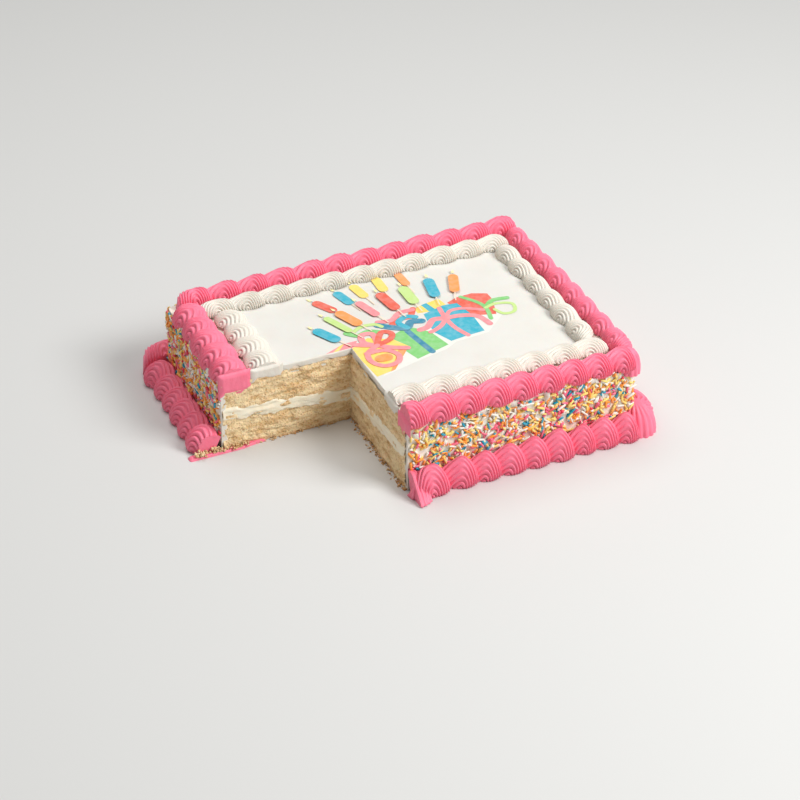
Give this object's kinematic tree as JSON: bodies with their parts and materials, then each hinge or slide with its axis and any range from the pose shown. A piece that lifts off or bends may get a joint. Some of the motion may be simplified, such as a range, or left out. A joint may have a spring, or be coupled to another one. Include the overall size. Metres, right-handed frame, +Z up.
{
  "type": "birthday cake",
  "caption": "Rectangular layered sponge cake with piped pink and white shell borders, sprinkled sides and a printed top, one corner cut out.",
  "frame": {"origin": "middle of the cake's footprint, on the surface it stands on", "axes": "+X along the length, towards the right when the cut corner is at the front left, +Y from the front to the back, +Z up"},
  "size_m": [0.3404, 0.257, 0.073],
  "materials": {
    "sponge": "open golden crumb, fully matte",
    "cream": "soft cream, matte",
    "icing": "spread icing, soft sheen",
    "white_icing": "piped icing, soft sheen",
    "pink_icing": "piped icing, soft sheen",
    "printed_sheet": "smooth printed icing sheet, matte"
  },
  "bodies": {
    "root": {"sponge_lower": "sponge", "sponge_upper": "sponge", "filling_cream": "cream", "icing_coat": "icing", "printed_sheet": "printed_sheet", "pink_top_front": "pink_icing", "pink_top_right": "pink_icing", "pink_top_back": "pink_icing", "pink_top_left": "pink_icing", "white_top_front": "white_icing", "white_top_right": "white_icing", "white_top_back": "white_icing", "white_top_left": "white_icing", "pink_foot_front": "pink_icing", "pink_foot_right": "pink_icing", "pink_foot_back": "pink_icing", "pink_foot_left": "pink_icing", "pink_torn_shell": "pink_icing", "pink_smear": "pink_icing"}
  },
  "joints": []
}
